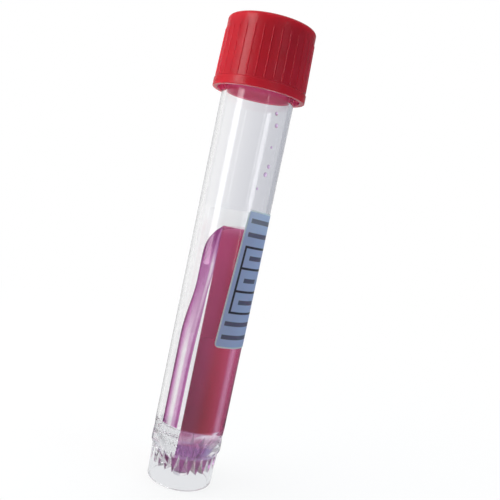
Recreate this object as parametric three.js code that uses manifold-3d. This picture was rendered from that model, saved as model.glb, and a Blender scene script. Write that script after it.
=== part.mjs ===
// Self-standing screw-cap specimen tube, 16 mm across and 104 mm tall, with a pool of transport medium.
// Millimetres, +Z up. The origin is the middle of the foot: the tube stands on its skirt at z = 0.
// Angles round the tube are azimuths: 0 faces -Y and 90 degrees faces +X, anticlockwise from above.

import * as THREE from 'three';
import { mergeVertices } from 'three/addons/utils/BufferGeometryUtils.js';
import Module from 'manifold-3d';

const wasm = await Module();
wasm.setup();

// ---------------------------------------------------------------- driving dimensions

// Tube: body, neck and mouth.
const tubeHeight = 101.5;
const tubeRadius = 8.06;
const tubeWall = 1.0;
const lipRound = 0.3;

// Tube: conical bottom, inside.
const coneTopZ = 13.6;
const coneTipZ = 1.7;
const coneTipRadius = 1.1;
const coneWall = 0.9;
const tipWall = 0.9;

// Tube: foot skirt, with the bead where the body steps in to it.
const skirtHeight = 8.2;
const skirtInset = 0.45;
const skirtDraft = 0.18;
const skirtWall = 0.85;
const stepChamfer = 0.9;
const sinkDepth = 0.09;
const footRound = 0.15;

// Tube: pointed keys between the cone and the skirt.
const keyCount = 24;
const keyTipZ = 3.6;
const keyTipWidth = 0.16;

// Screw thread, shared by neck and cap.
const threadPitch = 3.0;
const threadHeight = 0.78;
const threadFootWidth = 1.5;
const threadCrestWidth = 0.6;
const threadClearance = 0.4;
const neckThreadTurns = 1.75;
const neckThreadDrop = 7.6;
const capThreadTurns = 1.5;
const threadRunOut = 40;

// Cap.
const capHeight = 15.24;
const capWall = 1.09;
const capTopThickness = 1.3;
const capBoreDraft = 0.18;
const collarHeight = 2.05;
const collarStep = 0.26;
const gripDraft = 0.3;
const gripTopBand = 2.5;
const gripRibCount = 32;
const gripRibWidth = 0.36;
const gripRibHeight = 0.13;
const gripRibTurn = 2.2;
const capTopRound = 0.7;
const rimRound = 0.2;

// Sealing ring, between the cap's roof and the mouth.
const sealThickness = 1.0;
const sealOverlap = 0.12;
const sealClearance = 0.05;

// Label: a flat rounded rectangle, wrapped round the body and slightly askew.
const labelWidth = 30.0;
const labelHeight = 30.5;
const labelThickness = 0.12;
const labelCorner = 1.0;
const labelGap = 0.05;
const labelAzimuth = 123;
const labelMiddleZ = 48.0;
const labelSkew = -3;

// Medium: it fills the bottom, and lies against the right-hand wall above it.
const mediumTopZ = 59.5;
const mediumGap = 0.1;
const poolAzimuth = -92;
const poolDepth = 1.45;
const crownAzimuth = -110;
const crownReach = 6.7;
const crownRound = 8.0;

// Fineness of the round forms.
const tubeSegments = 72;
const capSegments = 96;
const threadSegments = 36;
const roundSegments = 4;
const labelColumns = 44;

// ---------------------------------------------------------------- sizes that follow

const boreRadius = tubeRadius - tubeWall;
const skirtTopRadius = tubeRadius - skirtInset;
const skirtFootRadius = skirtTopRadius - skirtDraft;
const neckThreadZ = tubeHeight - neckThreadDrop;
const capTopZ = tubeHeight + sealClearance * 2 + sealThickness + capTopThickness;
const capRimZ = capTopZ - capHeight;
const capRoofZ = capTopZ - capTopThickness;
const capBoreRadius = tubeRadius + threadHeight + threadClearance;
const capRoofRadius = capBoreRadius - capBoreDraft;
const collarRadius = capBoreRadius + capWall;
const gripBaseZ = capRimZ + collarHeight;
const gripTopZ = capTopZ - gripTopBand;
const gripBaseRadius = collarRadius - collarStep;
const gripTopRadius = gripBaseRadius - gripDraft;

// ---------------------------------------------------------------- helpers

const radians = THREE.MathUtils.degToRad;
const point = (x, y) => new THREE.Vector2(x, y);

// Points of a quarter round from one end to the other, about the given centre. Angles are in degrees.
function arc(centreX, centreY, radius, from, to) {
  const [start, end] = [radians(from), radians(to)];
  const curve = new THREE.EllipseCurve(centreX, centreY, radius, radius, start, end, from > to);
  return curve.getPoints(roundSegments);
}

// A solid of revolution about Z. The profile runs (radius, z), with the material on its left.
function revolve(profile, segments) {
  return new THREE.LatheGeometry(profile, segments).rotateX(Math.PI / 2);
}

// A manifold solid from a closed geometry, ready to be joined and cut.
function toSolid(geometry) {
  const bare = geometry.clone();
  bare.deleteAttribute('normal');
  bare.deleteAttribute('uv');
  const merged = mergeVertices(bare);
  return new wasm.Manifold(new wasm.Mesh({
    numProp: 3,
    vertProperties: new Float32Array(merged.attributes.position.array),
    triVerts: new Uint32Array(merged.index.array),
  }));
}

// The geometry of a finished manifold solid.
function toGeometry(solid) {
  const mesh = solid.getMesh();
  const geometry = new THREE.BufferGeometry();
  geometry.setAttribute('position', new THREE.BufferAttribute(mesh.vertProperties, 3));
  geometry.setIndex(new THREE.BufferAttribute(mesh.triVerts, 1));
  geometry.computeVertexNormals();
  return geometry;
}

// Moves every vertex of a geometry by a rule that takes and returns a Vector3.
function reshape(geometry, rule) {
  const position = geometry.attributes.position;
  const vertex = new THREE.Vector3();
  for (let i = 0; i < position.count; i += 1) {
    vertex.fromBufferAttribute(position, i);
    const moved = rule(vertex);
    position.setXYZ(i, moved.x, moved.y, moved.z);
  }
  return geometry;
}

// The place at an azimuth in radians, a radius and a height.
function around(azimuth, radius, z) {
  return new THREE.Vector3(radius * Math.sin(azimuth), -radius * Math.cos(azimuth), z);
}

// A thread ridge wound round Z. side is 1 for a ridge that stands out, and -1 for one that stands in.
// It starts at startAzimuth and fades into its wall over the run-out at both ends.
function threadRidge(wallRadius, side, startZ, startAzimuth, turns) {
  const sunk = threadHeight / 2;
  const section = new THREE.Shape([
    point(-threadFootWidth / 2, -side * sunk),
    point(threadFootWidth / 2, -side * sunk),
    point(threadCrestWidth / 2, side * threadHeight),
    point(-threadCrestWidth / 2, side * threadHeight),
  ]);
  const sweep = turns * 2 * Math.PI;
  const ridge = new THREE.ExtrudeGeometry(section, {
    depth: sweep,
    steps: Math.round(turns * threadSegments),
    bevelEnabled: false,
  });
  return toSolid(reshape(ridge, ({ x, y, z }) => {
    const fade = Math.min(1, z / radians(threadRunOut), (sweep - z) / radians(threadRunOut));
    const isCrest = y * side > 0;
    const rise = isCrest ? THREE.MathUtils.lerp(-sunk / 2, threadHeight, fade) * side : y;
    const climb = startZ + threadPitch * z / (2 * Math.PI) + x;
    return around(radians(startAzimuth) + z, wallRadius + rise, climb);
  }));
}

// ---------------------------------------------------------------- tube

// Inner surface of the conical bottom: its radius at a height.
function coneRadiusAt(z) {
  const slope = (boreRadius - coneTipRadius) / (coneTopZ - coneTipZ);
  return coneTipRadius + slope * (z - coneTipZ);
}

// Outer wall of the tube with the foot still solid under the cone, as turned from foot to lip.
function tubeBlank() {
  const tipOuterZ = coneTipZ - tipWall;
  const beadZ = skirtHeight + stepChamfer;
  const sinkZ = (beadZ + coneTopZ) / 2;
  const profile = [
    point(0, tipOuterZ),
    point(skirtFootRadius - skirtWall, tipOuterZ),
    point(skirtFootRadius - skirtWall, 0),
    point(skirtFootRadius - footRound, 0),
    point(skirtFootRadius, footRound),
    point(skirtTopRadius, skirtHeight - stepChamfer),
    point(tubeRadius, skirtHeight),
    point(tubeRadius, beadZ),
    point(tubeRadius - sinkDepth, sinkZ),
    point(tubeRadius, coneTopZ),
    ...arc(tubeRadius - lipRound, tubeHeight - lipRound, lipRound, 0, 90),
    ...arc(boreRadius + lipRound, tubeHeight - lipRound, lipRound, 90, 180),
    point(boreRadius, coneTopZ),
    point(coneTipRadius, coneTipZ),
    point(0, coneTipZ),
  ];
  return toSolid(revolve(profile, tubeSegments));
}

// Space under the tube, between the cone's outer wall and the skirt.
function footHollow() {
  const tipOuterZ = coneTipZ - tipWall;
  const belowFoot = -1;
  const innerRadius = skirtFootRadius - skirtWall;
  const profile = [
    point(0, belowFoot),
    point(innerRadius, belowFoot),
    point(innerRadius, skirtHeight),
    point(coneRadiusAt(skirtHeight) + coneWall, skirtHeight),
    point(coneTipRadius + coneWall / 2, tipOuterZ),
    point(0, tipOuterZ),
  ];
  return toSolid(revolve(profile, tubeSegments));
}

// One key: a blade from the cone to the skirt that narrows downwards to a blunt point.
function footKey(azimuth) {
  const widthAtTop = 2 * Math.PI * (skirtFootRadius - skirtWall) / keyCount;
  const blade = new THREE.Shape([
    point(-keyTipWidth / 2, keyTipZ),
    point(keyTipWidth / 2, keyTipZ),
    point(widthAtTop / 2, skirtHeight),
    point(widthAtTop / 2, skirtHeight + coneWall),
    point(-widthAtTop / 2, skirtHeight + coneWall),
    point(-widthAtTop / 2, skirtHeight),
  ]);
  const key = new THREE.ExtrudeGeometry(blade, { depth: skirtFootRadius, steps: 1, bevelEnabled: false });
  key.rotateX(Math.PI / 2);
  key.rotateZ(radians(azimuth));
  return toSolid(key);
}

function tubeSolid() {
  let keys = footKey(0);
  for (let i = 1; i < keyCount; i += 1) {
    keys = keys.add(footKey(i * 360 / keyCount));
  }
  const pockets = footHollow().subtract(keys);
  const thread = threadRidge(tubeRadius, 1, neckThreadZ, 0, neckThreadTurns);
  return tubeBlank().subtract(pockets).add(thread);
}

// ---------------------------------------------------------------- cap

function capShell() {
  const profile = [
    point(0, capRoofZ),
    point(capRoofRadius, capRoofZ),
    point(capBoreRadius, capRimZ + collarHeight),
    point(capBoreRadius, capRimZ + rimRound),
    point(capBoreRadius + rimRound, capRimZ),
    ...arc(collarRadius - rimRound, capRimZ + rimRound, rimRound, 270, 360),
    point(collarRadius, gripBaseZ - collarStep),
    point(gripBaseRadius, gripBaseZ),
    point(gripTopRadius, gripTopZ),
    ...arc(gripTopRadius - capTopRound, capTopZ - capTopRound, capTopRound, 0, 90),
    point(0, capTopZ),
  ];
  return toSolid(revolve(profile, capSegments));
}

// One fine upright rib on the grip. It leans in with the grip's draft.
function gripRib(azimuth) {
  const sunk = gripRibHeight * 2;
  const section = new THREE.Shape([
    point(-gripRibWidth / 2, -sunk),
    point(gripRibWidth / 2, -sunk),
    point(gripRibWidth / 4, gripRibHeight),
    point(-gripRibWidth / 4, gripRibHeight),
  ]);
  const height = gripTopZ - gripBaseZ;
  const rib = new THREE.ExtrudeGeometry(section, { depth: height, steps: 1, bevelEnabled: false });
  return toSolid(reshape(rib, ({ x, y, z }) => {
    const radius = gripBaseRadius - gripDraft * z / height + y;
    return around(radians(azimuth) - x / gripBaseRadius, radius, gripBaseZ + z);
  }));
}

function capSolid() {
  let cap = capShell();
  const middleOfGap = (neckThreadTurns - capThreadTurns) * threadPitch / 2;
  const threadZ = neckThreadZ + middleOfGap - threadPitch / 2;
  const startAzimuth = middleOfGap / threadPitch * 360;
  cap = cap.add(threadRidge(capBoreRadius - capBoreDraft / 2, -1, threadZ, startAzimuth, capThreadTurns));
  for (let i = 0; i < gripRibCount; i += 1) {
    cap = cap.add(gripRib(gripRibTurn + i * 360 / gripRibCount));
  }
  return cap;
}

// ---------------------------------------------------------------- sealing ring

function sealRing() {
  const bottom = tubeHeight + sealClearance;
  const inner = boreRadius - sealOverlap;
  const outer = capRoofRadius - sealOverlap;
  const profile = [
    point(inner, bottom),
    point(outer, bottom),
    point(outer, bottom + sealThickness),
    point(inner, bottom + sealThickness),
    point(inner, bottom),
  ];
  return revolve(profile, tubeSegments);
}

// ---------------------------------------------------------------- label

// A flat plate in columns, its ends narrowed to round the corners, turned askew and wrapped round the tube.
function labelSheet() {
  const plate = new THREE.BoxGeometry(labelWidth, labelHeight, labelThickness, labelColumns, 1, 1);
  const innerRadius = tubeRadius + labelGap;
  const skew = radians(labelSkew);
  return reshape(plate, ({ x, y, z }) => {
    const intoCorner = Math.max(0, labelCorner - (labelWidth / 2 - Math.abs(x)));
    const cut = labelCorner - Math.sqrt(Math.max(0, labelCorner ** 2 - intoCorner ** 2));
    const side = Math.sign(y) * (labelHeight / 2 - cut);
    const along = x * Math.cos(skew) - side * Math.sin(skew);
    const up = x * Math.sin(skew) + side * Math.cos(skew);
    const radius = innerRadius + labelThickness / 2 + z;
    return around(radians(labelAzimuth) + along / innerRadius, radius, labelMiddleZ + up);
  });
}

// ---------------------------------------------------------------- medium

// A slab that is wider than the tube, drawn in the plane of one azimuth as (reach, z) points.
function slabAt(azimuth, outline) {
  const width = tubeRadius * 4;
  const shape = new THREE.Shape(outline);
  const slab = new THREE.ExtrudeGeometry(shape, { depth: width, steps: 1, bevelEnabled: false });
  slab.translate(0, 0, -width / 2);
  slab.rotateX(Math.PI / 2);
  slab.rotateZ(radians(azimuth - 90));
  return toSolid(slab);
}

function mediumSolid() {
  const radius = boreRadius - mediumGap;
  const tipZ = coneTipZ + mediumGap;
  const filled = toSolid(revolve([
    point(0, tipZ),
    point(coneTipRadius - mediumGap / 2, tipZ),
    point(radius, coneTopZ + mediumGap / 2),
    point(radius, mediumTopZ),
    point(0, mediumTopZ),
  ], tubeSegments));
  const far = tubeRadius * 2;
  const aboveTop = mediumTopZ + crownRound;
  const poolSide = slabAt(poolAzimuth, [
    point(-far, 0),
    point(poolDepth, 0),
    point(poolDepth, aboveTop),
    point(-far, aboveTop),
  ]);
  const crown = slabAt(crownAzimuth, [
    point(-far, 0),
    point(crownReach, 0),
    ...arc(crownReach - crownRound, mediumTopZ - crownRound, crownRound, 0, 90),
    point(-far, mediumTopZ),
  ]);
  return filled.intersect(poolSide).intersect(crown);
}

// ---------------------------------------------------------------- assembly

function addPiece(group, name, geometry, color, roughness, opacity = 1) {
  const material = new THREE.MeshStandardMaterial({
    color,
    roughness,
    metalness: 0,
    transparent: opacity < 1,
    opacity,
  });
  const mesh = new THREE.Mesh(geometry, material);
  mesh.name = name;
  group.add(mesh);
}

const group = new THREE.Group();
addPiece(group, 'tube', toGeometry(tubeSolid()), 0xeceef4, 0.08, 0.3);
addPiece(group, 'cap', toGeometry(capSolid()), 0xb81828, 0.35);
addPiece(group, 'seal_ring', sealRing(), 0xe8e6e2, 0.6);
addPiece(group, 'label', labelSheet(), 0xb4c3d6, 0.45);
addPiece(group, 'medium', toGeometry(mediumSolid()), 0x8c2444, 0.1, 0.85);

export default group;
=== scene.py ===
import math

import bmesh
import bpy
from mathutils import Matrix, Vector


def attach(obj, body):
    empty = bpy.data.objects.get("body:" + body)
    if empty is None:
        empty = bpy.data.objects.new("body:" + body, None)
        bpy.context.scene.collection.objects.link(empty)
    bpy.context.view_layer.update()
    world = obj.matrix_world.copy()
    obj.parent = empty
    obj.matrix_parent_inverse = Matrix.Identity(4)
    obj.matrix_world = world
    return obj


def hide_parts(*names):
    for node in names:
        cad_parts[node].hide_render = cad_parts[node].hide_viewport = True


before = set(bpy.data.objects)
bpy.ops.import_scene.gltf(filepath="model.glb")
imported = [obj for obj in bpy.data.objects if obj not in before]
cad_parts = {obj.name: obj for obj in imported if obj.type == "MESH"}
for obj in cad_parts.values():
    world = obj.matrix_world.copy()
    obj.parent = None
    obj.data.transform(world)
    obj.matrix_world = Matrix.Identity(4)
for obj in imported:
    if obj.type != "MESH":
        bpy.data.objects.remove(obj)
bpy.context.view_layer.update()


# ---------------------------------------------------------------- tube
# The tube is one clear moulding: a straight body, a conical bottom, a skirt that it stands on
# and 24 pointed keys that tie cone to skirt. Its neck has an outside thread. Sizes in this
# script are millimetres, +Z up; an azimuth is 0 at -Y and 90 degrees at +X.

TUBE_HEIGHT = 101.5
TUBE_RADIUS = 8.06
TUBE_WALL = 1.0
BORE_RADIUS = TUBE_RADIUS - TUBE_WALL
LIP_ROUND = 0.3

CONE_TOP = 13.6
CONE_TIP = 1.7
CONE_TIP_RADIUS = 1.1
CONE_WALL = 0.9
TIP_WALL = 0.9

SKIRT_HEIGHT = 8.2
SKIRT_INSET = 0.45
SKIRT_DRAFT = 0.18
SKIRT_WALL = 0.85
SKIRT_TOP_RADIUS = TUBE_RADIUS - SKIRT_INSET
SKIRT_FOOT_RADIUS = SKIRT_TOP_RADIUS - SKIRT_DRAFT
SKIRT_INSIDE = SKIRT_FOOT_RADIUS - SKIRT_WALL
STEP_CHAMFER = 0.9
STEP_ROUND = 0.3
BEAD_TOP = SKIRT_HEIGHT + STEP_CHAMFER
SINK_DEPTH = 0.09
FOOT_ROUND = 0.15

KEY_COUNT = 24
KEY_TIP = 3.6
KEY_TIP_WIDTH = 0.16

THREAD_PITCH = 3.0
THREAD_HEIGHT = 0.78
THREAD_FOOT = 1.5
THREAD_CREST = 0.6
THREAD_RUN_OUT = 40 / 360
NECK_THREAD_DROP = 7.6
NECK_THREAD_START = TUBE_HEIGHT - NECK_THREAD_DROP
NECK_THREAD_AZIMUTH = 0
NECK_THREAD_TURNS = 1.75

# The neck is divided finely between these heights, to carry its thread.
NECK_ROWS_LOW = NECK_THREAD_START - 0.9
NECK_ROWS_HIGH = NECK_THREAD_START + THREAD_PITCH * NECK_THREAD_TURNS + 0.95
ROW_MARGIN = 0.1
TUBE_STEPS = 240
CREASE_ANGLE = 32


class Wire:
    """A shader socket that takes part in arithmetic, adding the nodes that it needs."""

    def __init__(self, tree, socket=None):
        self.tree = tree
        self.socket = socket

    def node(self, kind, settings=None, inputs=None, output=0):
        """Adds a node: its settings first, then the values or wires of its sockets."""
        new = self.tree.nodes.new(kind)
        for name, value in (settings or {}).items():
            if name == "stops":
                ramp = new.color_ramp
                while len(ramp.elements) < len(value):
                    ramp.elements.new(0.5)
                for element, (position, color) in zip(ramp.elements, value):
                    element.position = position
                    element.color = (*color, 1)
            else:
                setattr(new, name, value)
        for key, value in (inputs or {}).items():
            if isinstance(value, Wire):
                self.tree.links.new(value.socket, new.inputs[key])
            else:
                new.inputs[key].default_value = value
        return Wire(self.tree, new.outputs[output])

    def math(self, operation, *values, clamp=False):
        """Adds a Math node on these values or wires."""
        settings = {"operation": operation, "use_clamp": clamp}
        return self.node("ShaderNodeMath", settings, dict(enumerate(values)))

    def __add__(self, other):
        return self.math("ADD", self, other)

    def __sub__(self, other):
        return self.math("SUBTRACT", self, other)

    def __rsub__(self, other):
        return self.math("SUBTRACT", other, self)

    def __mul__(self, other):
        return self.math("MULTIPLY", self, other)

    def __truediv__(self, other):
        return self.math("DIVIDE", self, other)

    __radd__ = __add__
    __rmul__ = __mul__

    def above(self, edge, blur):
        """0 below the edge and 1 above it, with a soft step as wide as the blur."""
        return self.math("MULTIPLY_ADD", self - edge, 1 / blur, 0.5, clamp=True)

    def between(self, low, high, blur):
        """1 from low to high and 0 outside them, with soft steps as wide as the blur."""
        return self.above(low, blur) * (1 - self.above(high, blur))

    def blend(self, low, high):
        """The colour between low and high that this wire picks."""
        inputs = {0: self, 6: low, 7: high}
        return self.node("ShaderNodeMix", {"data_type": "RGBA"}, inputs, output=2)

    def axes(self):
        """The three numbers of a vector, each as a wire."""
        parts = self.node("ShaderNodeSeparateXYZ", inputs={0: self})
        return [Wire(self.tree, out) for out in parts.socket.node.outputs]

    def least(self, other):
        return self.math("MINIMUM", self, other)

    def most(self, other):
        return self.math("MAXIMUM", self, other)

    def diagonal(self, other):
        """The long side of a right-angled triangle with these two short sides."""
        return self.math("SQRT", self * self + other * other)

    def noise(self, place, scale, detail):
        """Cloudy noise from about 0.3 to 0.7; a larger scale gives smaller clouds."""
        inputs = {"Vector": place, "Scale": scale, "Detail": detail}
        return self.node("ShaderNodeTexNoise", inputs=inputs)


def rgb(red, green, blue):
    """A linear colour, opaque."""
    return (red, green, blue, 1.0)


def new_finish(name):
    """A node material, and a wire to start its arithmetic from."""
    finish = bpy.data.materials.new(name)
    finish.use_nodes = True
    return finish, Wire(finish.node_tree)


def set_surface(finish, **sockets):
    """Gives the Principled shader its constants and wires, by socket name with _ for a space."""
    shader = finish.node_tree.nodes["Principled BSDF"]
    for name, value in sockets.items():
        socket = shader.inputs[name.replace("_", " ")]
        if isinstance(value, Wire):
            finish.node_tree.links.new(value.socket, socket)
        else:
            socket.default_value = value


def object_place(start):
    """Object coordinates in millimetres, as one vector wire."""
    coordinates = start.node("ShaderNodeTexCoord", output=3)
    inputs = {0: coordinates, "Scale": 1000.0}
    return start.node("ShaderNodeVectorMath", {"operation": "SCALE"}, inputs)


def around(azimuth, radius, z):
    """The place at an azimuth in degrees, a radius and a height."""
    turn = math.radians(azimuth)
    return Vector((radius * math.sin(turn), -radius * math.cos(turn), z))


def azimuth_of(place):
    """The azimuth of a place, in degrees."""
    return math.degrees(math.atan2(place.x, -place.y))


def radius_of(place):
    """The distance of a place from the tube's axis."""
    return math.hypot(place.x, place.y)


def rounded(corners, steps=4):
    """A profile through (radius, z, round) corners: an arc at each, held by a row on each side."""
    ends = [Vector(corner[:2]) for corner in corners]
    fillets = [corner[2] for corner in corners]
    profile = [ends[0]]
    for before, corner, after, fillet in zip(ends, ends[1:], ends[2:], fillets[1:]):
        inward = (before - corner).normalized()
        outward = (after - corner).normalized()
        half = inward.angle(outward) / 2
        reach = fillet / math.tan(half)
        centre = corner + (inward + outward).normalized() * (fillet / math.sin(half))
        support = reach * 1.4
        first = corner + inward * reach - centre
        last = corner + outward * reach - centre
        profile.append(corner + inward * support)
        for step in range(steps + 1):
            profile.append(centre + first.slerp(last, step / steps).normalized() * fillet)
        profile.append(corner + outward * support)
    profile.append(ends[-1])
    return [tuple(place) for place in profile]


def turned(profile, steps, closed=False):
    """A bmesh of the (radius, z) profile turned once round the axis."""
    bm = bmesh.new()
    verts = [bm.verts.new((radius, 0, z)) for radius, z in profile]
    edges = [bm.edges.new(pair) for pair in zip(verts, verts[1:])]
    if closed:
        edges.append(bm.edges.new((verts[-1], verts[0])))
    bmesh.ops.spin(
        bm, geom=verts + edges, cent=(0, 0, 0), axis=(0, 0, 1),
        angle=math.tau, steps=steps, use_merge=True,
    )
    bmesh.ops.remove_doubles(bm, verts=bm.verts, dist=1e-4)
    bmesh.ops.recalc_face_normals(bm, faces=bm.faces)
    return bm


def rows(low, high, count):
    """Evenly spaced values from low to high, both included."""
    return [low + (high - low) * step / count for step in range(count + 1)]


def thread_rise(azimuth, z, start_z, start_azimuth, turns):
    """How far a thread stands out of its wall at a place. It runs out to nothing at both ends."""
    rise = 0
    turn = (azimuth - start_azimuth) / 360 % 1
    while turn < turns:
        off = abs(z - start_z - THREAD_PITCH * turn)
        flank = (THREAD_FOOT / 2 - off) / (THREAD_FOOT / 2 - THREAD_CREST / 2)
        fade = min(1, turn / THREAD_RUN_OUT, (turns - turn) / THREAD_RUN_OUT)
        rise = max(rise, THREAD_HEIGHT * min(1, flank) * fade)
        turn += 1
    return rise


def make_piece(bm, name, finish, body, nodes=()):
    """Turns a bmesh in millimetres into a smooth-shaded piece that rides on a body."""
    bmesh.ops.scale(bm, vec=(0.001, 0.001, 0.001), verts=bm.verts)
    for face in bm.faces:
        face.smooth = True
    for edge in bm.edges:
        edge.smooth = edge.calc_face_angle(0) < math.radians(CREASE_ANGLE)
    mesh = bpy.data.meshes.new(name)
    bm.to_mesh(mesh)
    bm.free()
    mesh.materials.append(finish)
    piece = bpy.data.objects.new(name, mesh)
    bpy.context.scene.collection.objects.link(piece)
    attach(piece, body)
    if nodes:
        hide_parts(*nodes)
    return piece


def cone_radius(z):
    """Inner radius of the tube at a height."""
    slope = (BORE_RADIUS - CONE_TIP_RADIUS) / (CONE_TOP - CONE_TIP)
    return min(BORE_RADIUS, CONE_TIP_RADIUS + slope * (z - CONE_TIP))


def foot_roof(azimuth, radius):
    """Underside of the foot: the cone in the middle, and keys that point down round it."""
    tip_outside = CONE_TIP - TIP_WALL
    tip_radius = CONE_TIP_RADIUS + CONE_WALL / 2
    rim_radius = cone_radius(SKIRT_HEIGHT) + CONE_WALL
    rise = (SKIRT_HEIGHT - tip_outside) / (rim_radius - tip_radius)
    cone = tip_outside + max(0, radius - tip_radius) * rise
    pitch = 360 / KEY_COUNT
    off = abs((azimuth + pitch / 2) % pitch - pitch / 2)
    aside = radius * math.sin(math.radians(off)) - KEY_TIP_WIDTH / 2
    half_width = math.pi * SKIRT_INSIDE / KEY_COUNT - KEY_TIP_WIDTH / 2
    key = KEY_TIP + max(0, aside) / half_width * (SKIRT_HEIGHT - KEY_TIP)
    return min(cone, key, SKIRT_HEIGHT)


def make_tube_mesh():
    """The whole moulding. Its underside is turned flat, and then takes the foot's shape."""
    flat = 7.0
    underside = [(radius, flat) for radius in [0, 0.6, 1.1] + rows(1.5, SKIRT_INSIDE, 22)]
    skirt = rounded([
        (SKIRT_INSIDE, 1.0, 0),
        (SKIRT_INSIDE, 0, FOOT_ROUND),
        (SKIRT_FOOT_RADIUS, 0, FOOT_ROUND),
        (SKIRT_TOP_RADIUS, SKIRT_HEIGHT - STEP_CHAMFER, STEP_ROUND),
        (TUBE_RADIUS, SKIRT_HEIGHT, STEP_ROUND),
        (TUBE_RADIUS, BEAD_TOP, 0),
    ])
    sink = [
        (TUBE_RADIUS - SINK_DEPTH * math.sin(math.pi * share) ** 2,
         BEAD_TOP + (CONE_TOP - BEAD_TOP) * share)
        for share in rows(0, 1, 16)[1:]
    ]
    body = [(TUBE_RADIUS, z) for z in rows(CONE_TOP + 0.4, NECK_ROWS_LOW - 0.4, 16)]
    neck = [(TUBE_RADIUS, z) for z in rows(NECK_ROWS_LOW, NECK_ROWS_HIGH, 64)]
    mouth = rounded([
        (TUBE_RADIUS, NECK_ROWS_HIGH + 0.3, 0),
        (TUBE_RADIUS, TUBE_HEIGHT, LIP_ROUND),
        (BORE_RADIUS, TUBE_HEIGHT, LIP_ROUND),
        (BORE_RADIUS, TUBE_HEIGHT - 1.5, 0),
    ], steps=6)
    bore = [(BORE_RADIUS, z) for z in rows(TUBE_HEIGHT - 6.5, CONE_TOP + 6.4, 15)]
    bottom = rounded([
        (BORE_RADIUS, CONE_TOP + 2.4, 0),
        (BORE_RADIUS, CONE_TOP, 1.2),
        (CONE_TIP_RADIUS, CONE_TIP, 0.5),
        (0, CONE_TIP, 0),
    ], steps=6)
    bm = turned(underside + skirt + sink + body + neck + mouth + bore + bottom, TUBE_STEPS)
    for vert in bm.verts:
        azimuth, radius, z = azimuth_of(vert.co), radius_of(vert.co), vert.co.z
        on_neck = NECK_ROWS_LOW - ROW_MARGIN < z < NECK_ROWS_HIGH + ROW_MARGIN
        if abs(z - flat) < 1e-4:
            vert.co.z = foot_roof(azimuth, radius)
        elif on_neck and radius > BORE_RADIUS + LIP_ROUND:
            rise = thread_rise(
                azimuth, z, NECK_THREAD_START, NECK_THREAD_AZIMUTH, NECK_THREAD_TURNS)
            vert.co = around(azimuth, TUBE_RADIUS + rise, z)
    return bm


# The plastic is water-clear, and its polish is a little uneven.
clear_plastic, start = new_finish("clear_plastic")
haze = start.noise(object_place(start), 1.6, detail=3.0)
set_surface(
    clear_plastic,
    Base_Color=rgb(0.985, 0.985, 0.99),
    Roughness=0.01 + haze * 0.02,
    IOR=1.5,
    Transmission_Weight=0.992,
)
make_piece(make_tube_mesh(), "tube_body", clear_plastic, "tube", ["tube"])


# ---------------------------------------------------------------- medium
# The transport medium is a clear crimson liquid. It fills the cone, and above it lies against
# the right-hand wall, with a straight dry edge and a rounded upper end.

MEDIUM_TOP = 59.5
MEDIUM_OVERLAP = 0.02
POOL_AZIMUTH = -92
POOL_DEPTH = 1.45
CROWN_AZIMUTH = -110
CROWN_REACH = 6.7
CROWN_ROUND = 8.0
POOL_MIDDLE = Vector((2.4, 0, 0))
MEDIUM_IOR = 1.34
CONE_BAND = 7.0
HIGHLIGHT_ZONE_LOW = 10.4
SURFACE_LEAN = 0.29


def toward(azimuth, place):
    """How far a place reaches in the direction of an azimuth."""
    turn = math.radians(azimuth)
    return place.x * math.sin(turn) - place.y * math.cos(turn)


def medium_room(place):
    """How deep inside the medium a place lies; below zero it is outside."""
    wall = cone_radius(place.z) + MEDIUM_OVERLAP
    pool = POOL_DEPTH - toward(POOL_AZIMUTH, place)
    over = max(0, place.z - MEDIUM_TOP + CROWN_ROUND)
    inset = CROWN_ROUND - math.sqrt(max(0, CROWN_ROUND ** 2 - over ** 2))
    crown = CROWN_REACH - inset - toward(CROWN_AZIMUTH, place)
    return min(wall - radius_of(place), pool, crown)


def make_medium_mesh():
    """A thin spindle in the middle of the pool, whose sides are then moved out to its surface."""
    heights = rows(CONE_TIP, CONE_TOP, 24) + [CONE_TOP + 0.6]
    heights += rows(CONE_TOP + 1.4, MEDIUM_TOP - CROWN_ROUND - 0.5, 24)
    for turn in range(3, 91, 3):
        heights.append(MEDIUM_TOP - CROWN_ROUND * (1 - math.sin(math.radians(turn))))
    profile = [(0, heights[0])] + [(1, z) for z in heights] + [(0, heights[-1])]
    bm = turned(profile, TUBE_STEPS)
    for vert in bm.verts:
        z = vert.co.z
        middle = POOL_MIDDLE * (cone_radius(z) / BORE_RADIUS) + Vector((0, 0, z))
        outward = Vector((vert.co.x, vert.co.y, 0))
        near, far = 0.0, 2 * BORE_RADIUS
        for _ in range(32):
            half = (near + far) / 2
            if medium_room(middle + outward * half) > 0:
                near = half
            else:
                far = half
        vert.co = middle + outward * near
    return bm


crimson_medium, start = new_finish("crimson_medium")
tree = crimson_medium.node_tree
dye = {"Color": rgb(0.51, 0, 0.24), "Density": 34.0}
absorption = start.node("ShaderNodeVolumeAbsorption", inputs=dye)
tree.links.new(absorption.socket, tree.nodes["Material Output"].inputs["Volume"])
place = object_place(start)
x, y, z = place.axes()

# The pool is crimson, deeper towards the foot, with a scarlet band and beside it at the front
# right a pale streak, which is a painted reflection, and pink at its top. Both bands are set by
# azimuth, here in radians.
rising = ((z - 14) / 42 + x.above(4.5, 5) * 1.3).least(1)
crimson = rising.blend(rgb(0.31, 0.07, 0.125), rgb(0.63, 0.112, 0.27))
scarlet = rising.blend(rgb(0.34, 0.03, 0.035), rgb(0.6, 0.07, 0.12))
azimuth = x.math("ARCTAN2", x, y * -1)
pool_tint_and_reflection = azimuth.between(0.2, 0.8, 0.3).blend(crimson, scarlet)
# Painted reflection: a pale streak in the pool at the front right.
pool_tint_and_reflection = azimuth.between(0.84, 1.04, 0.14).blend(pool_tint_and_reflection, rgb(1, 0.85, 1))
pool_tint_and_reflection = z.above(58.3, 2.4).blend(pool_tint_and_reflection, rgb(0.77, 0.27, 0.47))
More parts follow.
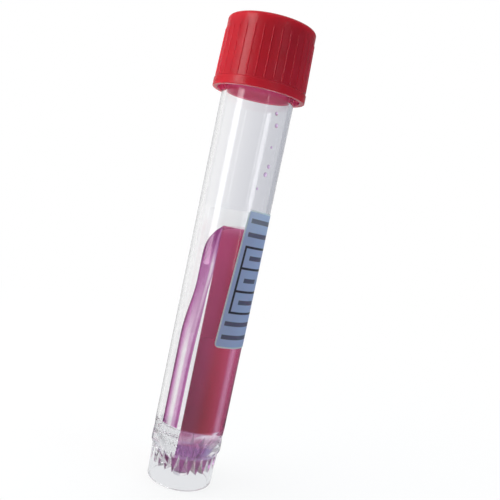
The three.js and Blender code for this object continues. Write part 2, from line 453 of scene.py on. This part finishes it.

# Below the pool the cone is tinted purple, with a magenta tip, painted light in place of the
# liquid's own crimson; over it lies a pale lilac band, a painted highlight of the bore's rounded
# cone top. The band's edges lean down towards the back.
slanted = z + (y + BORE_RADIUS) * SURFACE_LEAN
ripple = slanted - x * 0.4 + start.noise(place, 0.3, detail=3.0) * 3
mauve = x.above(3, 2).blend(rgb(0.58, 0.27, 0.45), rgb(0.78, 0.6, 0.74))
# Painted highlight: the pale lilac band over the cone.
mauve_and_highlight = ripple.between(12.2, 13.2, 0.5).blend(mauve, rgb(0.93, 0.93, 1))
# Painted light: the cone's purple and its magenta tip.
cone_painted_light = z.above(CONE_BAND, 0.5).blend(rgb(0.4, 0.13, 0.34), rgb(0.44, 0.3, 0.6))
cone_painted_light = slanted.above(HIGHLIGHT_ZONE_LOW, 0.5).blend(cone_painted_light, mauve_and_highlight)
set_surface(
    crimson_medium,
    Base_Color=slanted.above(CONE_TOP, 0.4).blend(cone_painted_light, pool_tint_and_reflection),
    Roughness=0.0,
    IOR=MEDIUM_IOR,
    Transmission_Weight=1.0,
)
make_piece(make_medium_mesh(), "medium_pool", crimson_medium, "tube", ["medium"])


# ---------------------------------------------------------------- film of medium
# A thin film of medium is left on the front wall beside the pool, and joins it at the top. Its
# tint is darker at its two edges; between them it is pale, a painted reflection, and higher up a
# light line is a painted highlight.

FILM_FOOT = 13.8
FILM_TOP = 59.3
FILM_CROWN_FOOT = 51.5
FILM_THICKNESS = 0.1
FILM_LEFT_LOW = -53.3
FILM_LEFT_HIGH = -40.2
FILM_RIGHT_LOW = -20.8
FILM_RIGHT_HIGH = -16.8
FILM_JOINT = -13.6
FILM_LEANS = (34, 47)
GAP_NARROWS = (26, 46)
GAP_CLOSES = (44, 50)
FILM_COLUMNS = 48
FILM_LINES = 90

# Density of dye at shares of the film's width, from its outer edge to the pool. Its thin places
# are
# painted light: the pale middle low down is a painted reflection, and the light line high up is a
# painted highlight. The strengths are what it holds back of red, green and blue.
DARKEST_DYE = 1.5
DYE_STRENGTHS = (0.9, 2.3, 1.15)
DYE_AND_REFLECTION_LOW = [
    (0, 1.5), (0.07, 1.5), (0.15, 0.65), (0.29, 0.3), (0.43, 0.06),
    (0.56, 0.04), (0.68, 0.34), (0.8, 0.42), (0.92, 1.0), (1, 0.35),
]
DYE_AND_HIGHLIGHT_HIGH = [
    (0, 1.15), (0.07, 1.0), (0.16, 0.75), (0.5, 0.72), (0.68, 0.6),
    (0.78, 0.16), (0.88, 0.1), (0.97, 0.5), (1, 0.6),
]


def eased(z, low, high):
    """0 below the low height and 1 above the high one, with a smooth step between."""
    share = min(1, max(0, (z - low) / (high - low)))
    return share * share * (3 - 2 * share)


def film_left(z):
    """Azimuth of the film's outer edge: it leans out downwards and rounds over at the top."""
    crown = max(0, z - FILM_CROWN_FOOT) / (FILM_TOP - FILM_CROWN_FOOT)
    width = (FILM_JOINT - FILM_LEFT_HIGH) * (1 - crown ** 2.8)
    lean = (FILM_LEFT_HIGH - FILM_LEFT_LOW) * (1 - eased(z, *FILM_LEANS))
    return FILM_JOINT - width - lean


def film_right(z):
    """Azimuth of the film's inner edge: a clear gap to the pool narrows upwards, then closes."""
    gap = FILM_RIGHT_LOW + (FILM_RIGHT_HIGH - FILM_RIGHT_LOW) * eased(z, *GAP_NARROWS)
    return gap + (FILM_JOINT - gap) * eased(z, *GAP_CLOSES)


def make_film_mesh():
    """A thin sheet laid on the bore between the two edges. Its lines crowd towards the top."""
    bm = bmesh.new()
    uv = bm.loops.layers.uv.new("UVMap")
    bmesh.ops.create_grid(bm, x_segments=FILM_COLUMNS, y_segments=FILM_LINES, size=0.5)
    for face in bm.faces:
        for loop in face.loops:
            loop[uv].uv = (loop.vert.co.x + 0.5, loop.vert.co.y + 0.5)
    bmesh.ops.solidify(bm, geom=bm.faces, thickness=-FILM_THICKNESS)
    wall = BORE_RADIUS + MEDIUM_OVERLAP
    for vert in bm.verts:
        across, along = vert.co.x + 0.5, vert.co.y + 0.5
        z = FILM_FOOT + (FILM_TOP - 0.01 - FILM_FOOT) * (1 - (1 - along) ** 1.6)
        azimuth = film_left(z) + (film_right(z) - film_left(z)) * across
        inner_side = abs(vert.co.z) > 1e-6
        vert.co = around(azimuth, wall - FILM_THICKNESS * inner_side, z)
    bmesh.ops.recalc_face_normals(bm, faces=bm.faces)
    return bm


def dye_tint(density):
    """The light that the film lets through at a density of dye."""
    return [math.exp(-density * strength) for strength in DYE_STRENGTHS]


def dye_across(across, stops):
    """The dye's density at a share of the film's width, as a share of the darkest."""
    ramp = [(share, [density / DARKEST_DYE] * 3) for share, density in stops]
    return across.node("ShaderNodeValToRGB", {"stops": ramp}, {"Fac": across})


film_finish, start = new_finish("thin_medium")
u, v, _ = start.node("ShaderNodeUVMap", {"uv_map": "UVMap"}).axes()
cloud = start.noise(object_place(start), 0.6, detail=3.0)
# Painted reflection and painted highlight: the film's thin, pale places.
density = v.above(0.43, 0.36).blend(dye_across(u, DYE_AND_REFLECTION_LOW), dye_across(u, DYE_AND_HIGHLIGHT_HIGH))
density = density * (0.8 + cloud * 0.4) + v.above(0.72, 0.14) * 0.36
shares = (0, 0.17, 0.33, 0.5, 0.67, 0.83, 1)
tints = [(share, dye_tint(share * DARKEST_DYE)) for share in shares]
set_surface(
    film_finish,
    Base_Color=density.node("ShaderNodeValToRGB", {"stops": tints}, {"Fac": density}),
    Roughness=0.0,
    IOR=MEDIUM_IOR,
    Transmission_Weight=1.0,
)
film = make_piece(make_film_mesh(), "medium_film", film_finish, "tube")


# ---------------------------------------------------------------- label
# A coated paper label is stuck about three fifths of the way round the body, slightly askew. It
# is steel blue with a pale edge, and has a ruled box of three fields and bars in place of words.

LABEL_WIDTH = 30.0
LABEL_HEIGHT = 30.5
LABEL_THICKNESS = 0.12
LABEL_CORNER = 1.0
LABEL_AZIMUTH = 123
LABEL_MIDDLE = 48.0
LABEL_SKEW = -3
LABEL_SINK = 0.01
LABEL_RADIUS = TUBE_RADIUS + 0.05
LABEL_COLUMNS = 120
LABEL_LINES = 24
CORNER_COLUMNS = 8
PALE_EDGE = 0.32

# The print is set out in millimetres from the label's lower left corner.
BOX_LEFT = 1.45
BOX_RIGHT = 28.55
BOX_RULES = [8.0, 12.8, 17.9, 22.6]
RULE_WIDTH = 0.5
BAR_WIDTH = 1.0
PRINT_BLUR = 0.08
BAR_BLUR = 0.1
BAR_INK = 0.85
WORD_BARS = [
    {"height": 28.3, "left": 1.1, "right": 11.5},
    {"height": 25.3, "left": 1.1, "right": 9.0},
    {"height": 20.3, "left": 3.0, "right": 8.0},
    {"height": 15.3, "left": 3.0, "right": 7.2},
    {"height": 10.4, "left": 3.0, "right": 8.8},
    {"height": 5.5, "left": 1.0, "right": 12.0},
    {"height": 2.5, "left": 1.0, "right": 12.6},
]


def make_label_mesh():
    """A flat sheet with round corners, given its thickness and then wrapped round the body."""
    bm = bmesh.new()
    uv = bm.loops.layers.uv.new("UVMap")
    bmesh.ops.create_grid(bm, x_segments=LABEL_COLUMNS, y_segments=LABEL_LINES, size=0.5)
    for vert in bm.verts:
        column = round((vert.co.x + 0.5) * LABEL_COLUMNS)
        from_end = min(column, LABEL_COLUMNS - column)
        if from_end <= CORNER_COLUMNS:
            turn = math.pi / 2 * from_end / CORNER_COLUMNS
            x = LABEL_WIDTH / 2 - LABEL_CORNER * (1 - math.cos(turn))
            cut = LABEL_CORNER * (1 - math.sin(turn))
        else:
            middle = (from_end - CORNER_COLUMNS) / (LABEL_COLUMNS / 2 - CORNER_COLUMNS)
            x = (LABEL_WIDTH / 2 - LABEL_CORNER) * (1 - middle)
            cut = 0
        vert.co.x = math.copysign(x, column - LABEL_COLUMNS / 2)
        vert.co.y *= LABEL_HEIGHT - 2 * cut
    for face in bm.faces:
        for loop in face.loops:
            x, y, _ = loop.vert.co
            loop[uv].uv = (x / LABEL_WIDTH + 0.5, y / LABEL_HEIGHT + 0.5)
    bmesh.ops.solidify(bm, geom=bm.faces, thickness=-LABEL_THICKNESS)
    skew = math.radians(LABEL_SKEW)
    for vert in bm.verts:
        x, y, proud = vert.co
        along = x * math.cos(skew) - y * math.sin(skew)
        up = x * math.sin(skew) + y * math.cos(skew)
        azimuth = LABEL_AZIMUTH + math.degrees(along / LABEL_RADIUS)
        vert.co = around(azimuth, TUBE_RADIUS - LABEL_SINK + abs(proud), LABEL_MIDDLE + up)
    bmesh.ops.recalc_face_normals(bm, faces=bm.faces)
    return bm


def stroke(across, middle, width, blur):
    """A mask of a printed line with this middle and width, measured across it."""
    return across.between(middle - width / 2, middle + width / 2, blur)


label_paper, start = new_finish("label_paper")
u, v, _ = start.node("ShaderNodeUVMap", {"uv_map": "UVMap"}).axes()
along = u * LABEL_WIDTH
up = v * LABEL_HEIGHT
inset = along.least(LABEL_WIDTH - along).least(up.least(LABEL_HEIGHT - up))

sides = stroke(along, BOX_LEFT, RULE_WIDTH, PRINT_BLUR)
sides = sides + stroke(along, BOX_RIGHT, RULE_WIDTH, PRINT_BLUR)
box_low, box_high = BOX_RULES[0] - RULE_WIDTH / 2, BOX_RULES[-1] + RULE_WIDTH / 2
ink = sides * up.between(box_low, box_high, PRINT_BLUR)
for height in BOX_RULES:
    rule = stroke(up, height, RULE_WIDTH, PRINT_BLUR)
    ink = ink.most(rule * along.between(BOX_LEFT, BOX_RIGHT, PRINT_BLUR))
for bar in WORD_BARS:
    stripe = stroke(up, bar["height"], BAR_WIDTH, BAR_BLUR)
    ink = ink.most(stripe * along.between(bar["left"], bar["right"], BAR_BLUR) * BAR_INK)

fibre = start.noise(object_place(start), 2.2, detail=4.0)
paper = (fibre * 0.5 + 0.25).blend(rgb(0.47, 0.53, 0.86), rgb(0.53, 0.6, 0.95))
paper = inset.above(PALE_EDGE, 0.12).blend(rgb(0.90, 0.91, 0.94), paper)
printed = ink.blend(paper, rgb(0.025, 0.03, 0.045))
x, y, _ = object_place(start).axes()
outer_face = x.diagonal(y).above(LABEL_RADIUS, 0.02)
set_surface(
    label_paper,
    Base_Color=outer_face.blend(rgb(0.95, 0.95, 0.96), printed),
    Roughness=0.42 - ink * 0.1,
    Subsurface_Weight=0.65,
    Subsurface_Radius=(0.001, 0.001, 0.001),
    Subsurface_Scale=4.0,
)
make_piece(make_label_mesh(), "label_wrap", label_paper, "tube", ["label"])


# ---------------------------------------------------------------- droplets
# Condensed drops cling to the inside of the wall above the medium, and four smaller ones to the
# film where it starts to round over. Each is a flattened lens.

# Azimuth, height and radius of each drop, with the four on the film last.
DROPS = [
    (38.4, 84.9, 0.36), (43.7, 82.5, 0.42), (42.9, 77.8, 0.26),
    (45.6, 73.7, 0.4), (42.1, 71.9, 0.46), (31.5, 68.6, 0.26),
    (-31.6, 52.1, 0.2), (-33.2, 51.6, 0.15), (-30.4, 51.4, 0.13), (-32.4, 50.9, 0.1),
]
DROP_SHAPE = (0.55, 1.0, 1.15, 1.0)
DROP_INSET = 0.12


def make_drops_mesh():
    """All the drops in one mesh, none of them past the wall that they cling to."""
    wall = BORE_RADIUS + MEDIUM_OVERLAP
    bm = bmesh.new()
    for azimuth, z, size in DROPS:
        drop = bmesh.ops.create_uvsphere(bm, u_segments=20, v_segments=12, radius=size)
        turn = Matrix.Rotation(math.radians(azimuth - 90), 4, "Z")
        away = Matrix.Translation(around(azimuth, BORE_RADIUS - DROP_INSET, z))
        bmesh.ops.transform(bm, matrix=Matrix.Diagonal(DROP_SHAPE), verts=drop["verts"])
        bmesh.ops.transform(bm, matrix=away @ turn, verts=drop["verts"])
        for vert in drop["verts"]:
            if radius_of(vert.co) > wall:
                vert.co = around(azimuth_of(vert.co), wall, vert.co.z)
    bmesh.ops.recalc_face_normals(bm, faces=bm.faces)
    return bm


water, start = new_finish("condensed_water")
set_surface(
    water,
    Base_Color=rgb(0.8, 0.62, 0.85),
    Roughness=0.0,
    IOR=1.33,
    Transmission_Weight=1.0,
)
droplets = make_piece(make_drops_mesh(), "wall_droplets", water, "tube")


# ---------------------------------------------------------------- cap
# The screw cap is a satin red polyethylene moulding: a plain collar at its rim, 32 fine
# upright ribs on the grip, a plain band and a rounded top edge, and a thread inside.

CAP_TOP = 103.9
CAP_HEIGHT = 15.24
CAP_WALL = 1.09
CAP_TOP_THICKNESS = 1.3
CAP_BORE_DRAFT = 0.18
CAP_TOP_ROUND = 0.7
CAP_RIM = CAP_TOP - CAP_HEIGHT
CAP_ROOF = CAP_TOP - CAP_TOP_THICKNESS
THREAD_CLEARANCE = 0.4
CAP_BORE = TUBE_RADIUS + THREAD_HEIGHT + THREAD_CLEARANCE
CAP_ROOF_RADIUS = CAP_BORE - CAP_BORE_DRAFT
DISH_RADIUS = 1.5
DISH_DEPTH = 0.15

COLLAR_RADIUS = CAP_BORE + CAP_WALL
COLLAR_HEIGHT = 2.05
COLLAR_STEP = 0.26
RIM_ROUND = 0.2

GRIP_DRAFT = 0.3
GRIP_TOP_BAND = 2.5
GRIP_BASE = CAP_RIM + COLLAR_HEIGHT
GRIP_TOP = CAP_TOP - GRIP_TOP_BAND
GRIP_BASE_RADIUS = COLLAR_RADIUS - COLLAR_STEP
GRIP_TOP_RADIUS = GRIP_BASE_RADIUS - GRIP_DRAFT

RIB_COUNT = 32
RIB_WIDTH = 0.36
RIB_HEIGHT = 0.13
RIB_RUN_OUT = 0.35
RIB_TURN = 2.2

# Each rib and the wall beside it take these columns, in degrees from the rib's middle.
RIB_COLUMNS = [-4.2, -2.2, -1.03, -0.98, -0.72, -0.38, 0, 0.38, 0.72, 0.98, 1.03, 2.2]
CAP_STEPS = RIB_COUNT * len(RIB_COLUMNS)

# At each azimuth the cap's thread lies midway between two turns of the neck's.
CAP_THREAD_AZIMUTH = 45
CAP_THREAD_TURNS = 1.5
CAP_THREAD_START = NECK_THREAD_START + THREAD_PITCH * (CAP_THREAD_AZIMUTH / 360 - 0.5)
CAP_ROWS_LOW = CAP_THREAD_START - 0.975
CAP_ROWS_HIGH = CAP_THREAD_START + THREAD_PITCH * CAP_THREAD_TURNS + 1.125


def make_cap_mesh():
    """The cap's profile turned round, with ribs raised outside and the thread raised inside."""
    roof = rounded([
        (0, CAP_ROOF, 0),
        (CAP_ROOF_RADIUS, CAP_ROOF, 0.4),
        (CAP_ROOF_RADIUS + 0.02, CAP_ROOF - 2.6, 0),
    ])
    draft = CAP_BORE_DRAFT / (CAP_ROOF - GRIP_BASE)
    bore = [
        (CAP_BORE - draft * (z - GRIP_BASE), z)
        for z in reversed(rows(CAP_ROWS_LOW, CAP_ROWS_HIGH, 60))
    ]
    collar = rounded([
        (CAP_BORE, CAP_ROWS_LOW - 0.3, 0),
        (CAP_BORE, CAP_RIM, RIM_ROUND),
        (COLLAR_RADIUS, CAP_RIM, RIM_ROUND),
        (COLLAR_RADIUS, GRIP_BASE - COLLAR_STEP, 0.12),
        (GRIP_BASE_RADIUS, GRIP_BASE - COLLAR_STEP * 0.4, 0.12),
        (GRIP_BASE_RADIUS, GRIP_BASE + 0.3, 0),
    ])
    grip = [
        (GRIP_BASE_RADIUS - GRIP_DRAFT * share, GRIP_BASE + (GRIP_TOP - GRIP_BASE) * share)
        for share in (0.06, 0.25, 0.5, 0.75, 0.94, 0.97, 1)
    ]
    top = rounded([
        (GRIP_TOP_RADIUS, GRIP_TOP + 0.3, 0),
        (GRIP_TOP_RADIUS, CAP_TOP, CAP_TOP_ROUND),
        (DISH_RADIUS + 0.1, CAP_TOP, 0.05),
        (DISH_RADIUS - 0.1, CAP_TOP - DISH_DEPTH, 0.05),
        (0, CAP_TOP - DISH_DEPTH, 0),
    ], steps=6)
    bm = turned(roof + bore + collar + grip + top, CAP_STEPS)
    half = math.degrees(RIB_WIDTH / 2 / GRIP_BASE_RADIUS)
    for vert in bm.verts:
        radius, z = radius_of(vert.co), vert.co.z
        if radius < 1e-3:
            continue
        column = round(azimuth_of(vert.co) * CAP_STEPS / 360) % CAP_STEPS
        rib, part = divmod(column, len(RIB_COLUMNS))
        aside = RIB_COLUMNS[part]
        azimuth = RIB_TURN + rib * 360 / RIB_COUNT + aside
        on_thread = CAP_ROWS_LOW - ROW_MARGIN < z < CAP_ROWS_HIGH + ROW_MARGIN
        if radius > CAP_BORE + 0.3 and GRIP_BASE < z < GRIP_TOP + 0.01:
            run = min(1, (z - GRIP_BASE) / RIB_RUN_OUT, (GRIP_TOP - z) / RIB_RUN_OUT)
            section = math.sqrt(max(0, 1 - (aside / half) ** 2))
            radius += RIB_HEIGHT * section * max(0, run)
        elif radius < CAP_BORE + 0.01 and on_thread:
            radius -= thread_rise(
                azimuth, z, CAP_THREAD_START, CAP_THREAD_AZIMUTH, CAP_THREAD_TURNS)
        vert.co = around(azimuth, radius, z)
    return bm


# The red is a little uneven and finely grained outside. Inside it is painted pinker, painted light
# for the glow that comes through the wall.
red_plastic, start = new_finish("red_cap_plastic")
place = object_place(start)
grain = start.noise(place, 4.0, detail=3.0)
cloud = start.noise(place, 0.25, detail=2.0)
bump = start.node("ShaderNodeBump", inputs={"Strength": 0.55, "Distance": 0.0001, "Height": grain})
x, y, z = place.axes()
outside = x.diagonal(y).above(CAP_BORE + 0.1, 0.05).most(z.above(CAP_ROOF + 0.2, 0.1))
red = cloud.blend(rgb(0.46, 0.011, 0.019), rgb(0.55, 0.014, 0.026))
set_surface(
    red_plastic,
    # Painted light: the pinker colour inside the cap.
    Base_Color=outside.blend(rgb(0.6, 0.12, 0.17), red),
    Roughness=0.16 + grain * 0.1,
    IOR=1.5,
    Subsurface_Weight=0.6,
    Subsurface_Radius=(0.001, 0.0005, 0.0007),
    Subsurface_Scale=6.0,
    Normal=bump,
)
make_piece(make_cap_mesh(), "cap_shell", red_plastic, "cap", ["cap"])


# ---------------------------------------------------------------- sealing ring
# A soft ring of milky silicone is pressed up under the cap's roof, and closes on the mouth of
# the tube.

SEAL_OVERLAP = 0.12
SEAL_CLEARANCE = 0.05
SEAL_ROUND = 0.2
SEAL_INNER = BORE_RADIUS - SEAL_OVERLAP
SEAL_OUTER = CAP_ROOF_RADIUS - SEAL_OVERLAP
SEAL_BOTTOM = TUBE_HEIGHT + SEAL_CLEARANCE
SEAL_TOP = CAP_ROOF - SEAL_CLEARANCE


def make_seal_mesh():
    """The ring's section starts and ends in the middle of its underside."""
    middle = (SEAL_INNER + 0.8, SEAL_BOTTOM, 0)
    section = rounded([
        middle,
        (SEAL_OUTER, SEAL_BOTTOM, SEAL_ROUND),
        (SEAL_OUTER, SEAL_TOP, SEAL_ROUND),
        (SEAL_INNER, SEAL_TOP, SEAL_ROUND),
        (SEAL_INNER, SEAL_BOTTOM, SEAL_ROUND),
        middle,
    ])
    return turned(section[:-1], TUBE_STEPS, closed=True)


silicone, start = new_finish("milky_silicone")
cloud = start.noise(object_place(start), 0.8, detail=3.0)
set_surface(
    silicone,
    Base_Color=cloud.blend(rgb(0.74, 0.73, 0.70), rgb(0.84, 0.83, 0.80)),
    Roughness=0.55 + cloud * 0.1,
    Transmission_Weight=0.25,
    IOR=1.41,
)
make_piece(make_seal_mesh(), "seal_ring_soft", silicone, "seal", ["seal_ring"])


# ---------------------------------------------------------------- studio
# A white sweep: seen directly it is plain white, and through the plastic and in the gloss it
# is white on the left and falls to a lilac grey on the right. The floor keeps a faint shadow.

FLOOR_RADIUS = 3000
AIM_HEIGHT = 52

# As far out as the patch, rays bent through the foot see the floor as an even grey, a painted
# shade around the foot; the shadow fades at its own edge.
SHADE_PATCH_RADIUS = 18
SHADOW_EDGE = 110

CAMERA_PLACE = (0, -133.86, 66.55)
CAMERA_YAW = 2.252
CAMERA_PITCH = -4.962
CAMERA_ROLL = 11.969
LENS = 42.92

# The light from behind, from the far left at 0 to the far right at 1.
SWEEP = [
    (0.0, (1.0, 1.0, 1.0)), (0.40, (1.0, 1.0, 1.0)), (0.455, (0.94, 0.94, 0.96)),
    (0.5, (0.78, 0.785, 0.82)), (0.545, (0.68, 0.685, 0.73)), (0.6, (0.6, 0.61, 0.66)),
    (1.0, (0.5, 0.51, 0.57)),
]


def ray_masks(start):
    """Masks of the rays from the camera, those bent by clear pieces, and mirrored ones."""
    rays = start.node("ShaderNodeLightPath").socket.node.outputs
    bent = Wire(start.tree, rays["Is Transmission Ray"])
    mirrored = Wire(start.tree, rays["Is Glossy Ray"]) * (1 - bent)
    return Wire(start.tree, rays["Is Camera Ray"]), bent, mirrored


def surround(x, y, bent, mirrored):
    """Light from level directions: the sweep behind, and a darker room in front and in gloss."""
    behind = x.node("ShaderNodeValToRGB", {"stops": SWEEP}, {"Fac": x * 0.5 + 0.5})
    before = x.above(-0.72, 0.3).blend(rgb(0.55, 0.55, 0.55), rgb(0.14, 0.14, 0.145))
    before = bent.blend(before, rgb(0.62, 0.62, 0.64))
    level = y.above(0, 0.4).blend(before, behind)
    aside = x.math("ABSOLUTE", x).above(0.45, 0.3)
    return (mirrored * (0.35 + aside * 0.5)).blend(level, rgb(0, 0, 0))


bm = bmesh.new()
bmesh.ops.create_circle(bm, cap_ends=True, segments=96, radius=FLOOR_RADIUS / 1000)
mesh = bpy.data.meshes.new("floor")
bm.to_mesh(mesh)
bm.free()
floor = bpy.data.objects.new("floor", mesh)
bpy.context.scene.collection.objects.link(floor)

floor_white, start = new_finish("floor_white")
tree = floor_white.node_tree
camera_ray, bent, mirrored = ray_masks(start)
set_surface(floor_white, Base_Color=rgb(0.9, 0.9, 0.9), Roughness=0.9)
x, y, _ = object_place(start).axes()
away = x.diagonal(y)
level = surround(x / away, y / away, bent, mirrored)
# Painted shade: the floor is grey near the tube for rays bent through the foot.
level = away.above(SHADE_PATCH_RADIUS, 12).blend(rgb(0.78, 0.79, 0.81), level)
glow = {"Color": camera_ray.blend(level, rgb(1, 1, 1)), "Strength": 1.0}
white = start.node("ShaderNodeEmission", inputs=glow)
bare = camera_ray * (0.82 + away.above(SHADOW_EDGE, 160) * 0.18) + mirrored + bent
mixed = start.node("ShaderNodeMixShader", inputs={0: bare.most(0.35), 2: white})
tree.links.new(tree.nodes["Principled BSDF"].outputs[0], mixed.socket.node.inputs[1])
tree.links.new(mixed.socket, tree.nodes["Material Output"].inputs["Surface"])
mesh.materials.append(floor_white)

world = bpy.data.worlds.new("studio_air")
bpy.context.scene.world = world
world.use_nodes = True
start = Wire(world.node_tree)
camera_ray, bent, mirrored = ray_masks(start)
x, y, z = start.node("ShaderNodeTexCoord", output=0).axes()
overhead = mirrored.blend(rgb(1, 1, 1), rgb(0.35, 0.35, 0.35))
around_it = z.above(0.7, 0.25).blend(surround(x, y, bent, mirrored), overhead)
shown = camera_ray.blend(around_it, rgb(1, 1, 1))
world.node_tree.links.new(shown.socket, world.node_tree.nodes["Background"].inputs["Color"])


def add_softbox(name, azimuth, distance, z, width, height, watts, shiny=True, color=(1, 1, 1)):
    """A rectangular lamp at an azimuth, aimed at the tube's axis."""
    data = bpy.data.lights.new(name, "AREA")
    data.color = color
    data.shape = "RECTANGLE"
    data.size, data.size_y = width / 1000, height / 1000
    data.energy = watts
    lamp = bpy.data.objects.new(name, data)
    place = around(azimuth, distance, z) / 1000
    aim = Vector((0, 0, AIM_HEIGHT / 1000)) - place
    lamp.location = place
    lamp.rotation_euler = aim.to_track_quat("-Z", "Y").to_euler()
    lamp.visible_camera = False
    lamp.visible_glossy = shiny
    lamp.visible_transmission = shiny
    bpy.context.scene.collection.objects.link(lamp)


add_softbox("key_left", -85, 420, 110, 320, 420, 1.62, shiny=False)
add_softbox("back_left", 175, 500, 60, 300, 300, 1.8, shiny=False)
add_softbox("fill_right", 72, 500, 60, 300, 300, 1.6, shiny=False, color=(0.2, 0.75, 1))
add_softbox("strip_left", -56, 400, 90, 130, 420, 0.6)
add_softbox("strip_right", 33, 400, 90, 22, 420, 0.06)

camera_data = bpy.data.cameras.new("camera")
camera_data.lens = LENS
camera_data.clip_start = 0.005
camera = bpy.data.objects.new("camera", camera_data)
bpy.context.scene.collection.objects.link(camera)
turn = Matrix.Rotation(math.radians(-CAMERA_YAW), 4, "Z")
turn = turn @ Matrix.Rotation(math.radians(90 + CAMERA_PITCH), 4, "X")
turn = turn @ Matrix.Rotation(math.radians(CAMERA_ROLL), 4, "Z")
camera.matrix_world = Matrix.Translation(Vector(CAMERA_PLACE) / 1000) @ turn
bpy.context.scene.camera = camera
bpy.context.scene.view_settings.view_transform = "Standard"
bpy.context.scene.cycles.max_bounces = 32
bpy.context.scene.cycles.glossy_bounces = 24
bpy.context.scene.cycles.transmission_bounces = 32
